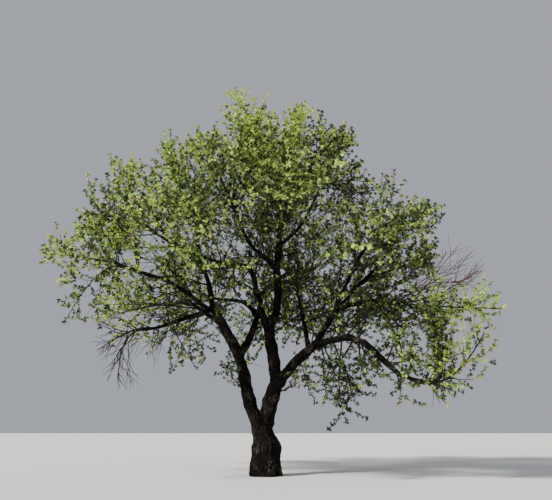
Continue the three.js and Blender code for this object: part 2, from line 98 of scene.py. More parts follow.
# Limbs
LIMB_STEP = 0.58  # length of a stretch
LEAST_STRETCHES = 5
FINE_STEP = 0.12  # length of a stretch once the limb is smoothed
TAPER = 1.25  # above 1, a limb thins soonest near its foot
COLLAR = 0.3  # how much thicker its foot is on another limb's side
CROOK = 0.022  # spread of its kinks, as a share of its length
TIP_SHARE = 0.9  # share of the parent past which it leaves from the tip, not the side

# Stems and boughs: name, parent, share of the parent's length where it leaves, places that it
# passes, tip, and the radii at its foot and tip
LIMBS = [
    ("left_stem", LEFT_ARM, 0, [(-12.3, 1.2, 28)], (-22.5, -7.5, 38), 0.208, 0.15),
    ("centre_stem", RIGHT_ARM, 0, [(4.1, -0.3, 21.5), (1, 0.6, 32), (4.8, 0.6, 38.5)],
     (4, -0.6, 50), 0.268, 0.118),
    ("mid_left_limb", "left_stem", 0.42, [(-8, 4.4, 30.1), (-4.2, 8.8, 36.6)],
     (-2.6, 15, 44.6), 0.132, 0.1),
    ("left_arch_bough", "centre_stem", 0.49, [(-3.3, -1, 40), (-7, -4, 48.3), (-16, -12, 47.4)],
     (-29, -25, 48), 0.135, 0.05),
    ("right_bough", "centre_stem", 0.17, [(13.2, -4.5, 25.2)], (20, -9, 28.5), 0.185, 0.135),
    ("right_low_bough", "right_bough", 0.97, [(30.5, -14, 29.4)], (37.5, -19, 28), 0.12, 0.096),
    ("right_droop_bough", "right_low_bough", 0.97, [(45.8, -20.8, 22.6), (50.3, -21.9, 20.3)],
     (57, -23.8, 19.1), 0.1, 0.056),
    ("right_up_limb", "right_bough", 0.97, [(25.5, -4, 34)], (31, 0, 38.5), 0.11, 0.096),
    ("right_long_bough", "right_up_limb", 0.97, [(44.5, 3, 40.8)], (57.5, 6, 40.8), 0.098, 0.06),
    ("right_high_bough", "right_up_limb", 0.98, [(42, 6, 46.2)], (54, 9, 49.5), 0.078, 0.05),
    ("right_top_bough", "right_high_bough", 0.5, [(52, 4, 52)], (59, 2.5, 59), 0.06, 0.045),
    ("right_front_bough", "right_up_limb", 0.86, [(34, -16, 44.5)], (37.5, -29, 47.5), 0.072, 0.05),
    ("back_right_bough", "right_bough", 0.8, [(16, 11, 39)], (15, 33, 48), 0.086, 0.055),
    ("leader_left", "centre_stem", 0.97, [(-0.4, -4, 50.9), (-7, -10, 53.2)],
     (-12.5, -17.5, 60), 0.09, 0.058),
    ("leader_top", "centre_stem", 0.98, [(5.5, 6, 59.5)], (6, 10, 69), 0.082, 0.055),
    ("front_bough", "centre_stem", 0.86, [(6, -17, 52.5)], (7.5, -32.5, 56), 0.076, 0.05),
    ("upper_right_bough", "leader_top", 0.3, [(16, 1.5, 62)], (24, -1, 71), 0.072, 0.05),
    ("left_crown_bough", "left_stem", 0.98, [(-24.5, -6, 44), (-30, -6, 50)],
     (-45, -10, 55.5), 0.095, 0.056),
    ("upper_left_bough", "left_crown_bough", 0.6, [(-30.5, -2, 56)], (-32.5, 2.5, 62), 0.07, 0.05),
    ("left_long_bough", "left_stem", 0.9, [(-40, -7, 43.8)], (-59, -10, 47.5), 0.088, 0.052),
    ("bare_bough", "left_stem", 0.96, [(-29.5, -14.5, 34.4), (-37.5, -19, 31.8)],
     (-46, -22, 30.5), 0.09, 0.048),
    ("left_back_bough", "left_stem", 0.78, [(-35, 14, 41.5)], (-49, 30, 44), 0.086, 0.054),
    ("back_left_bough", "mid_left_limb", 0.7, [(-11.2, 18, 43), (-25, 29, 45.3)],
     (-36, 42, 49), 0.084, 0.054),
    ("back_bough", "mid_left_limb", 0.97, [(2, 22, 48.3)], (12, 36, 55), 0.084, 0.055),
]

# Masses: name, bough that carries it, furthest tip, half width in per cent of SPREAD, and how
# thickly its shoots stand, or 0 where it is bare
MASSES = [
    ("top_left", "leader_top", (-15, -10, 100.8), 18, 1.2),
    ("top_right", "leader_top", (17, -6, 96.8), 22, 1.1),
    ("top_back", "leader_top", (6, 44, 90), 26, 0.7),
    ("top_front", "leader_left", (-3, -41, 78.5), 24, 1.5),
    ("upper_front_left", "leader_left", (-27, -32, 77), 22, 1.6),
    ("upper_left", "upper_left_bough", (-48, -6, 85), 22, 1.4),
    ("upper_back_left", "upper_left_bough", (-45, 44, 79), 26, 0.7),
    ("upper_left_outer", "left_crown_bough", (-71, -4, 80), 13, 1.1),
    ("left_mid_front", "left_crown_bough", (-63, -48, 52), 22, 0.75),
    ("left_far", "left_long_bough", (-96.5, -8, 51.5), 14, 1.0),
    ("left_mid", "left_long_bough", (-80.5, 8, 65.5), 16, 1.1),
    ("left_low_far", "left_long_bough", (-80, -13, 33.5), 14, 0.7),
    ("bare_high", "bare_bough", (-62, -23, 25.5), 13, 0),
    ("bare_low", "bare_bough", (-50, -32, 18), 13, 0),
    ("left_inner_front", "left_arch_bough", (-37, -62, 50), 22, 0.9),
    ("centre_front", "front_bough", (10, -65, 56), 22, 1.1),
    ("upper_front_right", "front_bough", (28, -50, 71), 22, 1.3),
    ("right_front", "right_front_bough", (42, -62, 47), 22, 0.9),
    ("right_mid_front", "right_front_bough", (61, -42, 43), 20, 0.9),
    ("upper_right", "upper_right_bough", (38, -5, 87), 20, 1.1),
    ("upper_right_outer", "upper_right_bough", (49.5, 0, 74.5), 14, 1.1),
    ("right_mid", "right_top_bough", (80.5, 4, 67.5), 12, 1.1),
    ("right_far", "right_high_bough", (79.5, 16, 55.5), 17, 1.1),
    ("dead_twigs", "right_long_bough", (100, 10, 51), 13, 0),
    ("right_low_far", "right_long_bough", (103, 2, 38.5), 14, 1.0),
    ("right_low_mid", "right_droop_bough", (80, -30, 29.5), 13, 0.65),
    ("right_low_up", "right_droop_bough", (66, -8, 37), 16, 1.0),
    ("right_under", "back_right_bough", (38, 50, 16), 18, 0.95),
    ("back_right", "back_right_bough", (68, 58, 53), 28, 0.6),
    ("upper_back_right", "back_right_bough", (42, 46, 79), 26, 0.7),
    ("back_mid", "back_bough", (7, 86, 52), 28, 0.6),
    ("back_low", "back_bough", (-15, 68, 31), 22, 0.6),
    ("back_left", "back_left_bough", (-57, 66, 55), 28, 0.6),
    ("left_back", "left_back_bough", (-84, 38, 45), 26, 0.8),
    ("left_inner_low", "left_back_bough", (-36, 44, 26.5), 19, 0.6),
]

# Pieces of the crown, each with the masses that it stands for and the limbs whose side
# branches it has
REGIONS = {
    "top": (
        ["top_left", "top_right", "top_back", "upper_right", "upper_right_outer"],
        ["leader_top", "upper_right_bough"],
    ),
    "upper_left": (
        ["upper_left", "upper_back_left", "upper_left_outer", "left_mid"],
        ["upper_left_bough", "left_crown_bough"],
    ),
    "left": (
        ["left_mid_front", "left_far", "left_low_far", "left_back"],
        ["left_long_bough", "left_back_bough"],
    ),
    "inner": (
        ["left_inner_low", "left_inner_front", "right_under"],
        ["left_stem", "centre_stem", "mid_left_limb", "left_arch_bough", "right_bough"],
    ),
    "front": (
        ["top_front", "upper_front_left", "centre_front", "upper_front_right", "right_front",
         "right_mid_front"],
        ["leader_left", "front_bough", "right_front_bough"],
    ),
    "right": (
        ["right_mid", "right_far", "right_low_far", "right_low_mid", "right_low_up"],
        ["right_low_bough", "right_droop_bough", "right_up_limb", "right_long_bough",
         "right_high_bough", "right_top_bough"],
    ),
    "back": (
        ["back_right", "upper_back_right", "back_mid", "back_low", "back_left"],
        ["back_right_bough", "back_left_bough", "back_bough"],
    ),
    "bare": (["bare_high", "bare_low"], ["bare_bough"]),
    "dead": (["dead_twigs"], []),
}

# Side branches of a limb: the share of it below the lowest, the distance from one to the
# next, their length, and how thickly their shoots stand
SIDE_RULE = (0.18, 0.34, 1.4, 1.0)
SIDE_RULES = {
    "left_stem": (0.62, 0.5, 1.0, 0.7),
    "centre_stem": (0.45, 0.26, 1.7, 1.0),
    "mid_left_limb": (0.35, 0.3, 1.8, 1.0),
    "right_bough": (0.55, 0.5, 0.8, 0.6),
    "leader_left": (0.15, 0.2, 1.8, 1.2),
    "leader_top": (0.1, 0.22, 1.6, 1.1),
    "left_arch_bough": (0.2, 0.24, 1.7, 1.0),
    "upper_right_bough": (0.1, 0.25, 1.5, 1.1),
    "right_top_bough": (0.2, 0.34, 0.8, 1.0),
    "right_long_bough": (0.1, 0.25, 1.3, 1.1),
    "right_low_bough": (0.2, 0.3, 1.2, 0.9),
    "right_up_limb": (0.2, 0.3, 1.6, 1.0),
    "right_droop_bough": (0.1, 0.24, 0.8, 0.9),
    "bare_bough": (0.15, 0.14, 0.8, 0),
}
SIDE_LOWEST = 1.2  # share of that length at the limb's foot
SIDE_CLOSE = 0.5  # how much less it is at the limb's tip
SIDE_LENGTHS = (0.8, 1.2)  # least and greatest share of it from branch to branch
SIDE_PLACES = (0.2, 0.8)  # of a side branch within its step
SIDE_SPREAD = math.radians(64)
SIDE_SPREADS = (0.7, 1.1)
SIDE_THICKNESS = 0.35
SIDE_THICKEST = 0.03
SIDE_TAPER = 0.3
SIDE_LIFT = 0.25

# Sprigs that stand by themselves, by the piece that they are in and by limb: share of the
# limb's length, heading, length, and 1 for sprigs in leaf or 0 for bare ones
SPRIGS = {
    "inner": [
        ("left_stem", [
            (0.1, (-1, -0.3, 0.1), 0.9, 1), (0.24, (-0.8, 0.3, 0.3), 0.8, 1),
            (0.36, (0.8, -0.5, 0.1), 0.5, 1),
        ]),
        ("centre_stem", [(0.1, (1, -0.3, 0.1), 1.1, 1)]),
        ("right_bough", [(0.5, (0.4, -0.4, -0.9), 0.9, 1)]),
        ("left_arch_bough", [
            (0.45, (-0.2, 0.5, 1), 1.9, 1), (0.6, (-0.3, -0.5, 1), 1.9, 1),
            (0.8, (0.1, 0.3, 1), 1.9, 1), (0.5, (-0.6, 0.2, -0.6), 1.6, 1),
            (0.7, (0.1, -0.3, -1), 1.4, 1),
        ]),
    ],
    "top": [
        ("leader_top", [
            (0.25, (-0.5, -0.8, 0.5), 1.5, 1), (0.45, (0.5, -0.8, 0.4), 1.5, 1),
            (0.65, (-0.4, -0.9, 0.5), 1.5, 1), (0.85, (0.4, -0.9, 0.3), 1.4, 1),
        ]),
        ("upper_right_bough", [(0.8, (0.9, -0.2, -0.1), 2.0, 1), (0.95, (0.95, 0.1, 0), 2.0, 1)]),
        ("leader_top", [(0.98, (-0.06, -0.18, 1), 3.9, 1)]),
    ],
    "left": [
        ("left_long_bough", [
            (0.85, (-0.3, -0.1, 1), 1.9, 1), (0.98, (-0.5, 0.2, 0.9), 1.7, 1),
            (0.15, (-1, -0.5, 0.1), 1.6, 0), (0.2, (-0.7, -0.3, 0.7), 1.8, 0),
            (0.35, (-0.9, -0.3, -0.3), 1.6, 0), (0.4, (-0.9, -0.4, 0.4), 1.7, 0),
            (0.6, (-1, -0.3, 0.1), 1.6, 0),
        ]),
    ],
    "upper_left": [
        ("left_crown_bough", [(0.3, (-0.9, -0.5, 0.3), 1.8, 0), (0.55, (-0.8, -0.5, 0.6), 1.8, 0)]),
        ("upper_left_bough", [(0.95, (0.5, -0.6, 1), 2.0, 1)]),
    ],
    "front": [
        ("leader_left", [
            (0.12, (-0.3, 0.1, 1), 1.8, 1), (0.3, (-0.6, 0.3, 0.8), 2.2, 1),
            (0.55, (-0.8, -0.2, 0.7), 2.2, 1), (0.6, (0.5, 0.2, 1), 2.4, 1),
            (0.7, (-0.7, 0.3, 0.9), 2.4, 1), (0.85, (0.6, 0.1, 0.9), 2.2, 1),
        ]),
    ],
    "right": [
        ("right_up_limb", [(0.9, (-0.1, 0.1, 1), 2.4, 1)]),
        ("right_low_bough", [
            (0.15, (0.1, -0.2, -1), 1.1, 0), (0.3, (0.3, 0.2, -1), 1.7, 1),
            (0.45, (0, -0.3, -1), 2.4, 1), (0.7, (-0.2, -0.2, -1), 1.7, 1),
            (0.85, (0.3, 0.3, -1), 1.2, 1), (0.5, (0.8, 0.3, 0.6), 2.0, 1),
            (0.8, (0.4, 0.4, 0.8), 2.0, 1),
        ]),
        ("right_droop_bough", [
            (0.3, (0.5, 0.2, 0.9), 2.0, 1), (0.6, (0.2, -0.2, 1), 1.6, 1),
            (0.93, (1, -0.1, -0.25), 0.7, 1), (0.97, (0.9, 0, -0.4), 0.5, 0),
        ]),
        ("right_long_bough", [
            (0.3, (0.3, -0.4, -1), 1.6, 1), (0.55, (0.4, -0.2, -1), 1.7, 1),
            (0.8, (0.5, 0.1, -0.9), 1.7, 1), (0.93, (0.9, -0.2, -0.35), 2.9, 1),
            (0.98, (0.8, 0.1, -0.6), 2.7, 1),
        ]),
        ("right_high_bough", [(0.6, (-0.2, -0.3, 1), 1.6, 1)]),
        ("right_top_bough", [(0.3, (-0.5, -0.3, 0.9), 1.9, 1), (0.7, (-0.4, -0.3, 1), 1.8, 1)]),
        ("right_long_bough", [(0.45, (0.1, -0.3, -1), 1.7, 1), (0.7, (0.3, -0.2, -1), 1.6, 1)]),
    ],
    "back": [
        ("back_right_bough", [(0.6, (0, 0.2, 1), 2.4, 1), (0.9, (-0.1, 0.1, 1), 2.4, 1)]),
        ("back_bough", [(0.6, (0, 0.1, 1), 2.4, 1), (0.9, (0.1, 0.3, 1), 2.3, 1)]),
        ("back_left_bough", [(0.7, (-0.1, 0, 1), 2.4, 1)]),
    ],
    "bare": [
        ("bare_bough", [(0.08, (-1, 0.05, 0.12), 2.9, 0), (0.3, (-1, 0.3, 0.2), 1.8, 0)]),
    ],
    "dead": [
        ("right_long_bough", [
            (0.75, (0.75, -0.1, 0.6), 2.9, 0), (0.85, (0.8, 0.1, 0.5), 3.0, 0),
            (0.95, (0.9, 0.0, 0.42), 2.9, 0), (0.8, (0.72, 0, 0.62), 2.8, 0),
            (0.9, (0.84, 0.05, 0.5), 3.1, 0), (0.97, (0.9, -0.05, 0.5), 2.8, 0),
        ]),
    ],
}

# Spaces and stems
SPACE_GAP = 0.01
SPACE_MIDDLE = 0.45  # place of its widest part along it
STEM_LEAD = 0.34  # how far on along its bough a stem bends, as a share of its space's length
STEM_SHARE = 0.92  # of that length that it reaches
STEM_TAPER = 0.35
STEM_STEPS = 10
STEM_SUNK = 0.25  # how far back inside its bough a stem begins
# For one, two or three stems on a bough, in its radii: how far off its middle line each
# stands, and how thick it is
STEM_SEATS = [(0.0, 0.9), (0.4, 0.7), (0.5, 0.6)]

# Branches, the source's rule with more of them
FEWEST_BRANCHES = 4
BRANCH_ROOM = 0.3  # half length times half width of a mass for each further branch
BRANCH_FIRST = 0.1  # share of the stem below the lowest branch
BRANCH_THICKNESS = 0.6
BRANCH_TAPER = 0.3
BRANCH_LEAST = 0.35
BRANCH_LENGTHS = (0.7, 0.92)  # shares of the room that it has
BRANCH_SPREAD = math.radians(66)
BRANCH_CLOSE = math.radians(26)  # how much less it is at the stem's tip
BRANCH_LIFT = 0.22
BRANCH_STEPS = 7
BRANCH_KINK = 0.22
TRIES = 6

# Shoots, with their leaves in tufts. On a stem, a branch and a side branch: the share of it
# below the lowest shoot, and the length of the one at its tip, as a share of SHOOT_LENGTH.
STEM_SHOOTS = (0.3, 0.6)
BRANCH_SHOOTS = (0.15, 0.8)
SIDE_SHOOTS = (0.25, 0.4)
SHOOT_STEP = 0.132  # along a branch
SHOOT_PLACES = (0.1, 0.9)  # of a shoot within its step
SHOOT_LENGTH = 0.8
SHOOT_LENGTHS = (0.5, 1.1)  # least and greatest share of it
SHOOT_SPREAD = math.radians(52)
SHOOT_SPREADS = (0.7, 1.2)
SHOOT_LEAST = 0.16
SHOOT_INSET = 0.1  # from a shoot's tip to the edge of its space
SHOOT_LIFT = 0.5
BARE_LIFT = -0.2
SHOOT_KINK = 0.2
BARE_SPREAD = 0.55  # how far bare branches and shoots stand off, as a share of the leafy ones
REACH_OVER = 0.22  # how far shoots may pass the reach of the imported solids
TIP_OVER = 0.32  # how far upright shoots at the tips may pass the edge of their space
SHOOT_STEPS = 2
BARE_STEPS = 3
SHOOT_RADII = (0.008, 0.0035)
BARE_RADII = (0.01, 0.004)
BARE_INSIDE = 0.4  # share of the shoots in the middle of the crown that are bare
TUFT_STEP = 0.095
TUFT_PLACES = (0.3, 0.9)  # of a tuft within its step
TUFT_SPREAD = math.radians(55)
LEAVES_A_TUFT = 4
LEAF_SIZE = (0.085, 0.115)
SMALLER_INSIDE = 0.22  # how much smaller they are in the middle of the crown
LEAF_SPREAD = (math.radians(30), math.radians(80))
LEAF_ROLL = 0.5  # how far a leaf's angle round its shoot may be off
LEAF_LIFT = 0.15
FACE_UP = 0.7  # how much a leaf's face turns up, along its shoot, and at random
FACE_ALONG = 0.6
FACE_SPREAD = 0.35

# A leaf, in shares of its length: each blade is so long and so wide
STALK = (0.6, 0.07)
LEAFLET = (0.52, 0.34)
END_LEAFLET = (0.5, 0.36)
END_PLACE = 0.5  # of the end leaflet along the stalk
LEAF_PAIRS = 2  # of leaflets along the stalk
FIRST_PAIR = 0.28
PAIR_STEP = 0.27
LEAFLET_LEAN = math.radians(56)  # of a leaflet off the stalk
LEAFLET_RISE = 0.15
LEAF_DROOP = 0.28

SIDES = {"bough": 16, "stem": 8, "branch": 4, "shoot": 3}

# Colours of the leaves from full light to deep shade, as linear values: greens with painted light
# and shade in them, and a brown of their own
LEAF_COLOURS = [
    (0.66, 0.82, 0.21),
    (0.39, 0.52, 0.12),
    (0.22, 0.31, 0.075),
    (0.12, 0.168, 0.048),
    (0.058, 0.085, 0.028),
    (0.025, 0.038, 0.016),
    (0.2, 0.155, 0.09),
]
BROWN_SHARE = 0.025  # of sprays, which take the last colour
SUN = np.array([-0.68, -0.42, 0.62])
CROWN_MIDDLE = np.array([0, 0, HEIGHT * 0.55])
CROWN_REACH = np.array([SPREAD, SPREAD, HEIGHT / 2])
LIT_SIDE = np.array([-0.22, -0.1, 0.5])  # how much lighter sprays are painted towards the light
LIT_RIM = 0.85  # and towards the outside of the crown, with painted shade inside it
PAINTED_LIGHT_SHIFT = {  # masses and limbs whose leaves are painted lighter, or darker, than that makes them
    "left_far": -0.18,
    "left_mid": -0.15,
    "left_mid_front": -0.28,
    "left_long_bough": -0.2,
    "left_stem": -0.3,
    "upper_left_outer": -0.15,
    "upper_left": -0.08,
    "upper_front_left": -0.05,
    "upper_front_right": -0.15,
    "right_front": -0.08,
    "right_mid_front": -0.05,
    "upper_right": -0.38,
    "upper_right_outer": -0.42,
    "upper_right_bough": -0.25,
    "right_mid": -0.18,
    "right_far": -0.1,
    "right_top_bough": -0.2,
    "right_high_bough": -0.15,
    "right_low_far": 0.5,
    "right_low_mid": 0.38,
    "left_low_far": -0.3,
    "left_inner_low": -0.25,
    "right_low_bough": -0.4,
    "right_bough": -0.2,
}
LIGHT_SPREAD = (0.2, 0.38)  # how much the painted light differs from shoot to shoot and tuft to tuft
LIGHTEST = 0.17  # painted light that gives the first colour, and painted light past which all is the darkest
DARKEST = -0.95

# Skin of the wood
VOXEL = 0.02
SOFTEN = 0.5
SOFTEN_ROUNDS = 5

# Plates of the bark and the cracks between them. Cells of noise are to the metre: two across
# the wood and one along it.
PLATE = 0.075
PLATE_LENGTH = 2.1  # in widths of a plate
PLATE_EDGE = 3  # how steeply it rises from a crack
CRACK = 0.03  # depth of one
CRACK_DEEPEST = 0.09  # and on thin wood, as a share of its radius
WARP_CELLS = (3, 3, 2)
WARP = 0.6  # of the plates along the wood
SWELL_CELLS = (5, 5, 2.5)
SWELL_NOISE = (1.0, 2.0, 3)  # loss of height and gap from octave to octave, and octaves
PLATE_SHARE = 0.75  # of plates and swells in the relief
SWELL_SHARE = 0.45
LEVEL = 0.6  # relief that leaves the skin where it is

# Lumps and hollows of the wood: cells of noise to the metre, height as a share of the radius,
# and the radius past which they grow no more
LUMP_STEP = 3.2
LUMP = 0.27
LUMP_REACH = 0.24

# Materials. A bump is scale, strength and distance. A ramp is places with their colours.
SHINE = 0.12  # specular level of every material
BUMP_DETAIL = 4
# All bark colours below are the bark's own dark tone darkened further, as painted shade of the
# crown
BARK = ((0.012, 0.009, 0.007), 0.92)  # colour under its ramps, and roughness
BARK_BUMP = (38, 0.5, 0.01)
# By relief: darkest in the cracks and lightest on the plates, partly the bark's own tone, partly
# painted shade in the cracks and painted highlight on the plates
PLATE_AND_CRACK_SHADE_RAMP = [
    (0.15, (0.0012, 0.001, 0.0009)),
    (0.55, (0.006, 0.0048, 0.0038)),
    (0.95, (0.013, 0.0098, 0.007)),
]
# Pale patches of bark at random, darker in the cracks as painted shade and lighter on the plates as
# painted highlight
PALE_PATCH_RAMP = [(0.2, (0.004, 0.0033, 0.0026)), (0.9, (0.064, 0.051, 0.038))]
PATCH_RAMP = [(0.53, (0, 0, 0)), (0.64, (1, 1, 1))]  # from plain bark to the pale patches
PATCH_SCALE = 2.6
PATCH_DETAIL = 7
TWIGS = {  # the material's name and its colour
    "leafy": ("twig", (0.02, 0.015, 0.012)),
    "bare": ("bare_twig", (0.02, 0.014, 0.011)),
    "dead": ("dead_twig", (0.1, 0.048, 0.04)),
}
TWIG_ROUGHNESS = 0.8
TWIG_BUMP = (60, 0.3, 0.004)
LEAF_ROUGHNESS = 0.6

# Stage and light
FLOOR_REACH = 200
FLOOR = ((0.78, 0.77, 0.75), 0.9)  # colour and roughness
KEY_COLOUR = (1.0, 0.97, 0.9)
KEY_STRENGTH = 5.8
KEY_WIDTH = math.radians(8)
SKY_COLOUR = (0.85, 0.9, 1.0)
SKY_STRENGTH = 0.48

# Camera: the photo's eye point, its pitch and its field of view
EYE = (0.33, -16.0, 1.3)
PITCH = math.radians(20.56)
FOCAL_PIXELS = 480.0
PHOTO_WIDTH = 552.0
SENSOR = 36.0
FARTHEST = 600  # how far off it still sees

random = np.random.default_rng(3630)


# Small helpers


def unit(vector):
    return vector / np.linalg.norm(vector, axis=-1, keepdims=True)


def place(shares):
    return np.array(shares, float) * (SPREAD, SPREAD, HEIGHT) / 100


def chance(a, b, c):
    """Repeatable noise from 0 to 1."""
    wave = math.sin(a * NOISE_STEPS[0] + b * NOISE_STEPS[1] + c * NOISE_STEPS[2]) * NOISE_SCALE
    return wave - math.floor(wave)


def square_to(heading):
    """A unit vector square to each heading, as near upright as can be."""
    helper = np.where(np.abs(heading[..., 2:]) > STEEP, ACROSS, UP)
    return unit(helper - (helper * heading).sum(-1, keepdims=True) * heading)


def rolled(heading, across, angle):
    return across * math.cos(angle) + np.cross(heading, across) * math.sin(angle)


def turned(heading, spread, roll):
    """The heading turned outwards by a spread angle, in the direction given by a roll."""
    out = rolled(heading, square_to(heading), roll)
    return heading * math.cos(spread) + out * math.sin(spread)


class Route:
    """The middle line of a run of wood, with its radius at each point."""

    def __init__(self, points, radii):
        self.points = np.array(points, float)
        self.radii = np.array(radii, float)

    def at(self, share):
        step = share * (len(self.points) - 1)
        i = min(int(step), len(self.points) - 2)
        here, after = self.points[i], self.points[i + 1]
        radius = self.radii[i] + (self.radii[i + 1] - self.radii[i]) * (step - i)
        return here + (after - here) * (step - i), unit(after - here), radius

    def length(self):
        return np.linalg.norm(np.diff(self.points, axis=0), axis=1).sum()

    def headings(self):
        return unit(np.gradient(self.points, axis=0))


def curve_point(stops, t):
    """A point on a Catmull-Rom curve through the stops."""
    spans = len(stops) - 1
    i = min(int(t * spans), spans - 1)
    w = t * spans - i
    one, two = stops[i], stops[i + 1]
    before = stops[i - 1] if i > 0 else 2 * stops[0] - stops[1]
    after = stops[i + 2] if i + 2 <= spans else 2 * stops[-1] - stops[-2]
    lead, trail = (two - before) / 2, (after - one) / 2
    square, cube = w * w, w * w * w
    return (
        one + lead * w + (3 * (two - one) - 2 * lead - trail) * square
        + (2 * (one - two) + lead + trail) * cube
    )


# Limbs


def limb_start(parent, share, limbs):
    if isinstance(parent, tuple):
        return np.array(parent[1], float)
    return limbs[parent].at(share)[0]


def limb_route(row, order, limbs):
    _, parent, share, via, tip, foot, end = row
    start = limb_start(parent, share, limbs)
    stops = [start, *map(place, via), place(tip)]
    length = np.linalg.norm(stops[-1] - start)
    stretches = max(LEAST_STRETCHES, math.floor(length / LIMB_STEP + 0.5))
    from_side = isinstance(parent, str) and share < TIP_SHARE
    points, radii = [], []
    for i in range(stretches + 1):
        t = i / stretches
        kink = CROOK * length * math.sin(math.pi * t)
        shift = [kink * (chance(order, i, axis) - 0.5) for axis in (1, 2, 3)]
        points.append(curve_point(stops, t) + shift)
        collar = COLLAR if from_side and i == 0 else 0
        radii.append((end + (foot - end) * (1 - t) ** TAPER) * (1 + collar))
    return Route(points, radii)


def smoothed(route):
    """The same run of wood with rounded bends."""
    steps = max(2, round(route.length() / FINE_STEP))
    shares = [i / steps for i in range(steps + 1)]
    points = [curve_point(route.points, share) for share in shares]
    return Route(points, [route.at(share)[2] for share in shares])


# Spaces. Each mass keeps to an egg-shaped space, cut flat where it meets its neighbours.


class Space:
    def __init__(self, row, limbs):
        self.name, self.bough, tip, width, self.fullness = row
        self.start = limbs[self.bough].points[-1]
        self.end = place(tip)
        self.length = np.linalg.norm(self.end - self.start)
        self.axis = unit(self.end - self.start)
        self.middle = self.start + self.axis * SPACE_MIDDLE * self.length
        self.half = (1 - SPACE_MIDDLE) * self.length
        self.half_width = width * SPREAD / 100
        self.walls = []
        self.stem = None

    def extent(self, heading):
        lengthwise = heading.dot(self.axis)
        return math.hypot(
            self.half * lengthwise, self.half_width * math.sqrt(max(0, 1 - lengthwise**2))
        )

    def in_ball(self, free):
        lengthwise = free.dot(self.axis)
        crosswise = free - self.axis * lengthwise
        return crosswise / self.half_width + self.axis * lengthwise / self.half

    def room(self, point, heading):
        """Distance from a point inside to the edge of the space along a heading."""
        start, step = self.in_ball(point - self.middle), self.in_ball(heading)
        a, b = step.dot(step), start.dot(step)
        reach = (-b + math.sqrt(max(0, b * b - a * (start.dot(start) - 1)))) / a
        for spot, normal in self.walls:
            closing = -normal.dot(heading)
            if closing > 0:
                reach = min(reach, normal.dot(point - spot) / closing)
        return reach


def raise_wall(one, other):
    between = other.middle - one.middle
    distance = np.linalg.norm(between)
    heading = between / distance
    reach = one.extent(heading)
    share = reach / (reach + other.extent(heading))
    meeting = one.middle + heading * share * distance
    one.walls.append((meeting - heading * SPACE_GAP / 2, -heading))
    other.walls.append((meeting + heading * SPACE_GAP / 2, heading))


def seat_stems(route, spaces):
    """Stems stand evenly round the bough's end, in the order in which their masses lie."""
    heading = route.headings()[-1]
    across = square_to(heading)
    side = np.cross(heading, across)

    def angle_of(space):
        return math.atan2(space.axis.dot(side), space.axis.dot(across))

    ordered = sorted(spaces, key=angle_of)
    off, thickness = STEM_SEATS[len(spaces) - 1]
    for i, space in enumerate(ordered):
        angle = angle_of(ordered[0]) + 2 * math.pi * i / len(spaces)
        out = rolled(heading, across, angle)
        seat = route.points[-1] + out * off * route.radii[-1]
        space.stem = stem_route(space, seat, heading, thickness * route.radii[-1])


def stem_route(space, seat, heading, foot):
    lead = seat + heading * STEM_LEAD * space.length
    goal = space.start + (space.end - space.start) * STEM_SHARE
    points = [seat - heading * STEM_SUNK]
    radii = [foot]
    for i in range(STEM_STEPS + 1):
        t = i / STEM_STEPS
        points.append(seat * (1 - t) ** 2 + lead * 2 * t * (1 - t) + goal * t * t)
        radii.append(foot * (1 - (1 - STEM_TAPER) * t))
    return Route(points, radii)


# Twigs


def wander(start, heading, length, steps, lift, kink, radii):
    """A crooked run of wood that turns upwards as it goes."""
    points = [start]
    for _ in range(steps):
        bend = random.uniform(-kink, kink, 3)
        heading = unit(heading + UP * lift / steps + bend)
        points.append(points[-1] + heading * length / steps)
    return Route(points, np.linspace(*radii, steps + 1))


class Growth:
    """What has grown in one piece of the crown."""

    def __init__(self):
        self.wood = []
        self.tufts = []  # place, heading, colour with painted light and shade, and count of leaves of each
        # shift of the painted light of its leaves
        self.lighter = 0

    def add_wood(self, route, kind):
        self.wood.append((route, SIDES[kind]))


def outward(point):
    """Place in the crown, in the measure in which the crown is a ball of radius 1."""
    return (point - CROWN_MIDDLE) / CROWN_REACH


def depth_inside(point):
    """How far inside the crown a place is: 0 at the rim and 1 in the middle."""
    return 1 - np.linalg.norm(outward(point), axis=-1)


def painted_light_at(point):
    """How much painted light a shoot's leaves get: more towards the light and the rim of the crown,
    with painted shade inside it.
    """
    side = outward(point).dot(LIT_SIDE)
    return side - depth_inside(point) * LIT_RIM + random.normal(0, LIGHT_SPREAD[0])


def spray_colour(light):
    if random.random() < BROWN_SHARE:
        return len(LEAF_COLOURS) - 1
    # Painted light and shade: the spray's light picks one of the greens
    light += random.normal(0, LIGHT_SPREAD[1])
    shade = (LIGHTEST - light) / (LIGHTEST - DARKEST) * (len(LEAF_COLOURS) - 1)
    return int(np.clip(shade, 0, len(LEAF_COLOURS) - 2))


def grow_shoot(growth, start, heading, length, leafy):
    lift = SHOOT_LIFT if leafy else BARE_LIFT
    radii = SHOOT_RADII if leafy else BARE_RADII
    steps = SHOOT_STEPS if leafy else BARE_STEPS
    route = wander(start, heading, length, steps, lift, SHOOT_KINK, radii)
    growth.add_wood(route, "shoot")
    if not leafy:
        return
    # Painted light of this shoot's leaves
    light = painted_light_at(start) + growth.lighter
    tufts = max(1, round(length / TUFT_STEP))
    roll = random.uniform(0, 2 * math.pi)
    for i in range(tufts):
        share = (i + random.uniform(*TUFT_PLACES)) / tufts
        point, along, _ = route.at(share)
        out = turned(along, TUFT_SPREAD, roll + i * GOLDEN_ANGLE)
        growth.tufts.append((point, out, spray_colour(light), LEAVES_A_TUFT))
    growth.tufts.append((route.points[-1], along, spray_colour(light), LEAVES_A_TUFT + 1))


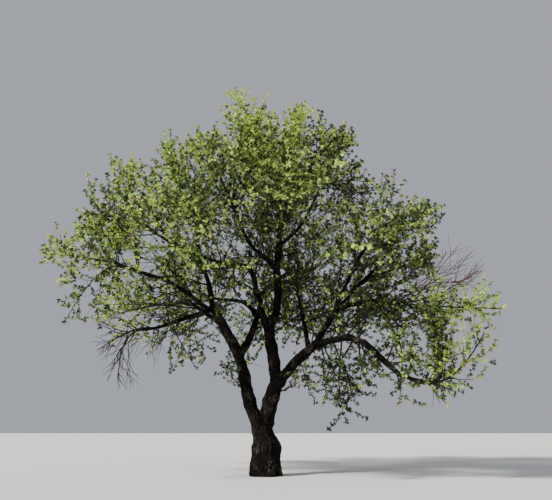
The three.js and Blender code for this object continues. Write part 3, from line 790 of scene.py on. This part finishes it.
def free_length(space, point, heading, wanted, inset):
    """The wanted length of a shoot, or as much of it as there is room for."""
    edge = np.where(heading > 0, np.add(cad_high, REACH_OVER), np.subtract(cad_low, REACH_OVER))
    off = np.where(np.abs(heading) < LEAST_SLANT, LEAST_SLANT, heading)
    reach = np.where(np.abs(heading) < LEAST_SLANT, wanted, (edge - point) / off).min()
    if space is not None:
        reach = min(reach, space.room(point, heading) - inset)
    return min(wanted, reach)


def grow_shoots(growth, space, fullness, parent, rule):
    """Shoots on all sides of a stem or branch, and one at its tip."""
    first, tip = rule
    leafy = fullness > 0
    step = SHOOT_STEP / (fullness or 1)
    count = max(1, round(parent.length() * (1 - first) / step))
    roll = random.uniform(0, 2 * math.pi)
    for i in range(count):
        share = first + (1 - first) * (i + random.uniform(*SHOOT_PLACES)) / count
        point, along, _ = parent.at(share)
        spread = SHOOT_SPREAD * random.uniform(*SHOOT_SPREADS) * (1 if leafy else BARE_SPREAD)
        heading = turned(along, spread, roll + i * GOLDEN_ANGLE)
        wanted = SHOOT_LENGTH * random.uniform(*SHOOT_LENGTHS)
        length = free_length(space, point, heading, wanted, SHOOT_INSET)
        if length >= SHOOT_LEAST:
            in_leaf = leafy and random.random() > BARE_INSIDE * depth_inside(point)
            grow_shoot(growth, point, heading, length, in_leaf)
    end, along, _ = parent.at(1)
    over = TIP_OVER * max(0, along[2])
    length = free_length(space, end, along, SHOOT_LENGTH * tip, -over)
    if length >= SHOOT_LEAST / 2:
        grow_shoot(growth, end, along, length, leafy)


def grow_sides(growth, limb, rule):
    """Side branches on all sides of a limb, with their shoots."""
    first, step, length, fullness = rule
    count = max(1, round(limb.length() * (1 - first) / step))
    roll = random.uniform(0, 2 * math.pi)
    for i in range(count):
        share = first + (1 - first) * (i + random.uniform(*SIDE_PLACES)) / count
        point, along, radius = limb.at(share)
        spread = SIDE_SPREAD * random.uniform(*SIDE_SPREADS)
        out = turned(along, spread, roll + i * GOLDEN_ANGLE)
        reach = length * (SIDE_LOWEST - SIDE_CLOSE * share) * random.uniform(*SIDE_LENGTHS)
        grow_side(growth, point, unit(out), radius, reach, fullness)


def grow_side(growth, point, heading, radius, length, fullness):
    thickness = min(SIDE_THICKEST, radius * SIDE_THICKNESS)
    radii = (thickness, thickness * SIDE_TAPER)
    lift = SIDE_LIFT if fullness > 0 else BARE_LIFT
    branch = wander(point, heading, length, BRANCH_STEPS, lift, BRANCH_KINK, radii)
    growth.add_wood(branch, "branch")
    grow_shoots(growth, None, fullness, branch, SIDE_SHOOTS)


def find_branch(space, parent, share, spread, roll):
    """Tries a few rolls about the parent until one has room, or gives None."""
    point, along, radius = parent.at(share)
    for turn in range(TRIES):
        out = turned(along, spread, roll + turn * GOLDEN_ANGLE)
        heading = unit(out + UP * BRANCH_LIFT)
        length = space.room(point, heading) * random.uniform(*BRANCH_LENGTHS)
        if length >= BRANCH_LEAST:
            radii = (radius * BRANCH_THICKNESS, radius * BRANCH_THICKNESS * BRANCH_TAPER)
            return wander(point, heading, length, BRANCH_STEPS, BRANCH_LIFT, BRANCH_KINK, radii)
    return None


def grow_mass(growth, space, order):
    """One mass: a stem, branches up it at the golden angle, and shoots along them."""
    # Painted light of this mass's leaves
    growth.lighter = PAINTED_LIGHT_SHIFT.get(space.name, 0)
    growth.add_wood(space.stem, "stem")
    branches = FEWEST_BRANCHES + round(space.half * space.half_width / BRANCH_ROOM)
    for k in range(branches):
        share = BRANCH_FIRST + (1 - BRANCH_FIRST) * (k + chance(order, k, 1)) / branches
        spread = (BRANCH_SPREAD - BRANCH_CLOSE * share) * (1 if space.fullness else BARE_SPREAD)
        roll = k * GOLDEN_ANGLE + 2 * math.pi * chance(order, 0, 2)
        branch = find_branch(space, space.stem, share, spread, roll)
        if branch:
            growth.add_wood(branch, "branch")
            grow_shoots(growth, space, space.fullness, branch, BRANCH_SHOOTS)
    grow_shoots(growth, space, space.fullness, space.stem, STEM_SHOOTS)


# Objects and meshes


def add_object(name, data):
    thing = bpy.data.objects.new(name, data)
    bpy.context.scene.collection.objects.link(thing)
    return thing


def make_mesh(name, corners, faces, shades=None):
    mesh = bpy.data.meshes.new(name)
    mesh.vertices.add(len(corners))
    mesh.vertices.foreach_set("co", np.asarray(corners, np.float32).ravel())
    mesh.loops.add(faces.size)
    mesh.loops.foreach_set("vertex_index", faces.astype(np.int32).ravel())
    mesh.polygons.add(len(faces))
    starts = np.arange(0, faces.size, faces.shape[1], dtype=np.int32)
    mesh.polygons.foreach_set("loop_start", starts)
    if shades is not None:
        mesh.polygons.foreach_set("material_index", shades.astype(np.int32))
    mesh.update(calc_edges=True)
    return mesh


def make_piece(name, mesh, materials, nodes):
    """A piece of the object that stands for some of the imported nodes."""
    piece = add_object(name, mesh)
    for material in materials:
        mesh.materials.append(material)
    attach(piece, "root")
    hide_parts(*nodes)


def tube(route, sides):
    """Closed tube along a route, as corners and triangles."""
    headings = route.headings()
    angles = 2 * math.pi * np.arange(sides) / sides
    across = square_to(headings[0])
    rings = []
    for point, heading, radius in zip(route.points, headings, route.radii):
        across = unit(across - across.dot(heading) * heading)
        side = np.cross(heading, across)
        out = np.outer(np.cos(angles), across) + np.outer(np.sin(angles), side)
        rings.append(point + radius * out)
    return skin(rings)


def skin(rings):
    sides = len(rings[0])
    k = np.arange(sides)
    after = (k + 1) % sides
    faces = []
    for i in range(len(rings) - 1):
        low, high = i * sides, (i + 1) * sides
        faces.append(np.stack([low + k, low + after, high + after], 1))
        faces.append(np.stack([low + k, high + after, high + k], 1))
    top = (len(rings) - 1) * sides
    fan = np.arange(1, sides - 1)
    faces.append(np.stack([np.zeros_like(fan), fan + 1, fan], 1))
    faces.append(np.stack([np.full_like(fan, top), top + fan, top + fan + 1], 1))
    return np.concatenate(rings), np.concatenate(faces)


def joined(parts):
    corners, faces, count = [], [], 0
    for part_corners, part_faces in parts:
        corners.append(part_corners)
        faces.append(part_faces + count)
        count += len(part_corners)
    return np.concatenate(corners), np.concatenate(faces)


# Leaves


def leaf_shape():
    """A leaf a unit long: a thin stalk, leaflets in pairs and one at its end, drooping."""
    corners = []

    def add_blade(root, heading, length, width):
        side = np.array([-heading[1], heading[0], 0.0]) * width / 2
        corners.extend([root - side, root + side, root + heading * length])

    ahead = np.array([1.0, 0, 0])
    add_blade(np.zeros(3), ahead, *STALK)
    for pair in range(LEAF_PAIRS):
        for side in (-1, 1):
            root = np.array([FIRST_PAIR + PAIR_STEP * pair, 0, 0])
            lean = side * math.sin(LEAFLET_LEAN)
            heading = np.array([math.cos(LEAFLET_LEAN), lean, LEAFLET_RISE])
            add_blade(root, heading, *LEAFLET)
    add_blade(ahead * END_PLACE, ahead, *END_LEAFLET)
    corners = np.array(corners)
    corners[:, 2] -= LEAF_DROOP * corners[:, 0] ** 2
    return corners, np.arange(len(corners)).reshape(-1, 3)


def make_leaves(tufts):
    """All leaves of a piece, from its tufts: corners, faces and each face's colour, with painted
    light and shade.
    """
    *columns, counts = map(np.array, zip(*tufts))
    points, axes, colours = (np.repeat(column, counts, axis=0) for column in columns)
    total = len(points)
    roll = np.arange(total) * GOLDEN_ANGLE + random.uniform(-LEAF_ROLL, LEAF_ROLL, total)
    spread = random.uniform(*LEAF_SPREAD, total)
    across = square_to(axes)
    side = np.cross(axes, across)
    out = across * np.cos(roll)[:, None] + side * np.sin(roll)[:, None]
    heading = axes * np.cos(spread)[:, None] + out * np.sin(spread)[:, None]
    heading = unit(heading + UP * LEAF_LIFT)
    face = UP * FACE_UP + axes * FACE_ALONG + random.normal(0, FACE_SPREAD, (total, 3))
    normal = unit(face - (face * heading).sum(1, keepdims=True) * heading)
    wide = np.cross(normal, heading)
    size = random.uniform(*LEAF_SIZE, total) * (1 - SMALLER_INSIDE * depth_inside(points))
    shape, faces = leaf_shape()
    spots = (
        shape[None, :, 0:1] * heading[:, None]
        + shape[None, :, 1:2] * wide[:, None]
        + shape[None, :, 2:3] * normal[:, None]
    )
    corners = points[:, None] + spots * size[:, None, None]
    offsets = np.arange(total) * len(shape)
    all_faces = faces[None] + offsets[:, None, None]
    shades = np.repeat(colours, len(faces))
    return corners.reshape(-1, 3), all_faces.reshape(-1, 3), shades


# Bark


def bole_rings():
    heights, middles, widths, depths = np.array(BOLE_RINGS).T
    angles = 2 * math.pi * np.arange(BOLE_SIDES) / BOLE_SIDES
    ribs = RIB_SWELL * np.cos(RIBS * angles + RIB_TURN)
    rings = []
    for height in np.arange(0, heights[-1] + BOLE_RING_STEP / 2, BOLE_RING_STEP):
        fade = math.exp(-height / ROOT_FADE)
        swell = 1 + ROOT_SWELL * fade * np.cos(ROOTS * angles) + ribs
        half_width = np.interp(height, heights, widths)
        x = np.interp(height, heights, middles) + half_width * swell * np.cos(angles)
        y = np.interp(height, heights, depths) * swell * np.sin(angles)
        rings.append(np.stack([x, y, np.full(BOLE_SIDES, height)], 1))
    return rings


def with_arm(route, arm):
    """A stem carried down into the bole along its arm."""
    points = np.concatenate([[arm[0]], route.points])
    return Route(points, np.concatenate([[arm[2][0]], route.radii]))


def blended_skin(name, parts):
    """One closed skin round overlapping pieces of wood, with softened forks."""
    corners, faces = joined(parts)
    draft = add_object(name, make_mesh(name, corners, faces))
    remesh = draft.modifiers.new("skin", "REMESH")
    remesh.mode = "VOXEL"
    remesh.voxel_size = VOXEL
    soften = draft.modifiers.new("soften", "SMOOTH")
    soften.factor = SOFTEN
    soften.iterations = SOFTEN_ROUNDS
    view = bpy.context.evaluated_depsgraph_get()
    mesh = bpy.data.meshes.new_from_object(draft.evaluated_get(view))
    bpy.data.objects.remove(draft)
    return mesh


def nearest_wood(spots, routes):
    """For each spot the place along, and off, the middle line of the wood that it lies on."""
    best = np.full(len(spots), np.inf)
    local = np.zeros((len(spots), 3))
    radii = np.zeros(len(spots))
    for route in routes:
        run = 0.0
        across = square_to(unit(route.points[1] - route.points[0]))
        for i in range(len(route.points) - 1):
            start, span = route.points[i], route.points[i + 1] - route.points[i]
            length = np.linalg.norm(span)
            heading = span / length
            across = unit(across - across.dot(heading) * heading)
            side = np.cross(heading, across)
            free = spots - start
            along = np.clip(free @ heading, 0, length)
            off = free - along[:, None] * heading
            radius = route.radii[i]
            near = np.linalg.norm(off, axis=1) / radius
            closer = near < best
            best[closer] = near[closer]
            radii[closer] = radius
            local[closer, 0] = off[closer] @ across
            local[closer, 1] = off[closer] @ side
            local[closer, 2] = run + along[closer]
            run += length
    return local, radii


def vertex_vectors(mesh, kind):
    vectors = np.empty(len(mesh.vertices) * 3, np.float32)
    mesh.vertices.foreach_get(kind, vectors)
    return vectors.reshape(-1, 3)


def in_cells(spot, cells):
    return Vector([distance * count for distance, count in zip(spot, cells)])


def bark_relief(local):
    """Height of the bark, near 0 in the cracks, at a place along and off its wood."""
    x, y, z = local
    warp = noise.noise(in_cells(local, WARP_CELLS)) * WARP
    cell = Vector((x / PLATE, y / PLATE, z / (PLATE * PLATE_LENGTH) + warp))
    distances, _ = noise.voronoi(cell)
    gap = min(1.0, (distances[1] - distances[0]) * PLATE_EDGE)
    swell = noise.fractal(in_cells(local, SWELL_CELLS), *SWELL_NOISE)
    return gap * PLATE_SHARE + swell * SWELL_SHARE


def carve_bark(mesh, routes):
    """Pushes the skin in along the cracks between its plates, and in and out in lumps."""
    spots = vertex_vectors(mesh, "co").astype(float)
    local, radii = nearest_wood(spots, routes)
    relief = np.array([bark_relief(spot) for spot in local])
    lumps = np.array([noise.noise(Vector(spot * LUMP_STEP)) for spot in spots])
    push = np.minimum(CRACK, radii * CRACK_DEEPEST) * (relief - LEVEL)
    push += np.minimum(radii, LUMP_REACH) * LUMP * lumps * np.clip(spots[:, 2], 0, 1)
    spots += vertex_vectors(mesh, "normal") * push[:, None]
    spots[:, 2] = np.maximum(spots[:, 2], 0)
    mesh.vertices.foreach_set("co", spots.astype(np.float32).ravel())
    shade = mesh.attributes.new("relief", "FLOAT", "POINT")
    shade.data.foreach_set("value", np.clip(relief, 0, 1).astype(np.float32))
    mesh.update()


# Materials


def new_material(name, colour, roughness):
    material = bpy.data.materials.new(name)
    material.use_nodes = True
    shader = material.node_tree.nodes["Principled BSDF"]
    shader.inputs["Base Color"].default_value = (*colour, 1)
    shader.inputs["Roughness"].default_value = roughness
    shader.inputs["Specular IOR Level"].default_value = SHINE
    return material, material.node_tree, shader


def noise_texture(tree, scale, detail):
    texture = tree.nodes.new("ShaderNodeTexNoise")
    texture.inputs["Scale"].default_value = scale
    texture.inputs["Detail"].default_value = detail
    coordinates = tree.nodes.new("ShaderNodeTexCoord")
    tree.links.new(coordinates.outputs["Object"], texture.inputs["Vector"])
    return texture.outputs["Fac"]


def add_bump(tree, shader, scale, strength, distance):
    bump = tree.nodes.new("ShaderNodeBump")
    bump.inputs["Strength"].default_value = strength
    bump.inputs["Distance"].default_value = distance
    tree.links.new(noise_texture(tree, scale, BUMP_DETAIL), bump.inputs["Height"])
    tree.links.new(bump.outputs["Normal"], shader.inputs["Normal"])


def ramp(tree, source, stops):
    node = tree.nodes.new("ShaderNodeValToRGB")
    elements = node.color_ramp.elements
    while len(elements) < len(stops):
        elements.new(stops[1][0])
    for element, (position, colour) in zip(elements, stops):
        element.position = position
        element.color = (*colour, 1)
    tree.links.new(source, node.inputs["Fac"])
    return node.outputs["Color"]


def mixed(tree, share, one, other):
    node = tree.nodes.new("ShaderNodeMix")
    node.data_type = "RGBA"
    tree.links.new(share, node.inputs["Factor"])
    tree.links.new(one, node.inputs["A"])
    tree.links.new(other, node.inputs["B"])
    return node.outputs["Result"]


def bark_material():
    material, tree, shader = new_material("bark", *BARK)
    add_bump(tree, shader, *BARK_BUMP)
    relief = tree.nodes.new("ShaderNodeAttribute")
    relief.attribute_name = "relief"
    # Colour by relief, with painted shade in the cracks and painted highlight on the plates
    plates = ramp(tree, relief.outputs["Fac"], PLATE_AND_CRACK_SHADE_RAMP)
    pale_patches = ramp(tree, relief.outputs["Fac"], PALE_PATCH_RAMP)
    where = ramp(tree, noise_texture(tree, PATCH_SCALE, PATCH_DETAIL), PATCH_RAMP)
    tree.links.new(mixed(tree, where, plates, pale_patches), shader.inputs["Base Color"])
    return material


def twig_material(name, colour):
    material, tree, shader = new_material(name, colour, TWIG_ROUGHNESS)
    add_bump(tree, shader, *TWIG_BUMP)
    return material


def leaf_materials():
    # Lit and shaded copies of one leaf, as painted light and shade, and a brown one of its own
    names = [f"leaf_{i + 1}" for i in range(len(LEAF_COLOURS))]
    return [new_material(*look, LEAF_ROUGHNESS)[0] for look in zip(names, LEAF_COLOURS)]


# The tree


def build_limbs():
    limbs = {}
    for order, row in enumerate(LIMBS):
        limbs[row[0]] = limb_route(row, order, limbs)
    return limbs


def build_wood(limbs):
    """Trunk, stems and boughs in one skin."""
    arms = {"left_stem": LEFT_ARM, "centre_stem": RIGHT_ARM}
    routes = []
    for name, route in limbs.items():
        fine = smoothed(route)
        routes.append(with_arm(fine, arms[name]) if name in arms else fine)
    bole = Route(BOLE_LINE, BOLE_LINE_RADII)
    parts = [skin(bole_rings()), *(tube(route, SIDES["bough"]) for route in routes)]
    mesh = blended_skin("bark", parts)
    carve_bark(mesh, [bole, *routes])
    mesh.shade_smooth()
    make_piece("trunk_and_boughs", mesh, [bark_material()], ["trunk", *limbs])


def build_spaces(limbs):
    spaces = [Space(row, limbs) for row in MASSES]
    for i, one in enumerate(spaces):
        for other in spaces[i + 1:]:
            raise_wall(one, other)
    for bough, route in limbs.items():
        carried = [space for space in spaces if space.bough == bough]
        if carried:
            seat_stems(route, carried)
    return spaces


def grow_region(region, spaces, limbs):
    """Masses of a region, the side branches of its limbs, and its sprigs."""
    growth = Growth()
    names, carriers = REGIONS[region]
    for name in names:
        grow_mass(growth, *spaces[name])
    for limb in carriers:
        # Painted light of the leaves on this limb's side branches
        growth.lighter = PAINTED_LIGHT_SHIFT.get(limb, 0)
        grow_sides(growth, limbs[limb], SIDE_RULES.get(limb, SIDE_RULE))
    for limb, sprigs in SPRIGS.get(region, []):
        # Painted light of the leaves on this limb's sprigs
        growth.lighter = PAINTED_LIGHT_SHIFT.get(limb, 0)
        for share, heading, length, fullness in sprigs:
            point, _, radius = limbs[limb].at(share)
            heading = unit(np.array(heading, float))
            grow_side(growth, point, heading, radius, length, fullness)
    return growth


def build_foliage(spaces, limbs):
    twigs = {kind: twig_material(*look) for kind, look in TWIGS.items()}
    leaves = leaf_materials()
    numbered = {space.name: (space, order) for order, space in enumerate(spaces)}
    for region, (names, _) in REGIONS.items():
        growth = grow_region(region, numbered, limbs)
        parts = [tube(route, sides) for route, sides in growth.wood]
        mesh = make_mesh(f"twigs_{region}", *joined(parts))
        mesh.shade_smooth()
        material = twigs.get(region, twigs["leafy"])
        make_piece(f"twigs_{region}", mesh, [material], names)
        if growth.tufts:
            corners, faces, shades = make_leaves(growth.tufts)
            mesh = make_mesh(f"leaves_{region}", corners, faces, shades)
            make_piece(f"leaves_{region}", mesh, leaves, names)


# Stage


def build_stage():
    corners = [(-1, -1, 0), (1, -1, 0), (1, 1, 0), (-1, 1, 0)]
    mesh = make_mesh("floor", np.array(corners) * FLOOR_REACH, np.array([(0, 1, 2), (0, 2, 3)]))
    floor = add_object("floor", mesh)
    material, _, _ = new_material("floor", *FLOOR)
    floor.data.materials.append(material)


def build_light():
    sun = bpy.data.lights.new("key", "SUN")
    sun.energy = KEY_STRENGTH
    sun.angle = KEY_WIDTH
    sun.color = KEY_COLOUR
    key = add_object("key", sun)
    key.rotation_euler = Vector(SUN).to_track_quat("Z", "Y").to_euler()
    world = bpy.data.worlds.new("studio")
    world.use_nodes = True
    sky = world.node_tree.nodes["Background"]
    sky.inputs["Color"].default_value = (*SKY_COLOUR, 1)
    sky.inputs["Strength"].default_value = SKY_STRENGTH
    bpy.context.scene.world = world


def build_camera():
    lens = bpy.data.cameras.new("camera")
    lens.sensor_width = SENSOR
    lens.lens = FOCAL_PIXELS / PHOTO_WIDTH * SENSOR
    lens.clip_end = FARTHEST
    camera = add_object("camera", lens)
    camera.location = EYE
    camera.rotation_euler = (math.pi / 2 + PITCH, 0, 0)
    bpy.context.scene.camera = camera


build_camera()
build_light()
build_stage()
limbs = build_limbs()
build_wood(limbs)
build_foliage(build_spaces(limbs), limbs)
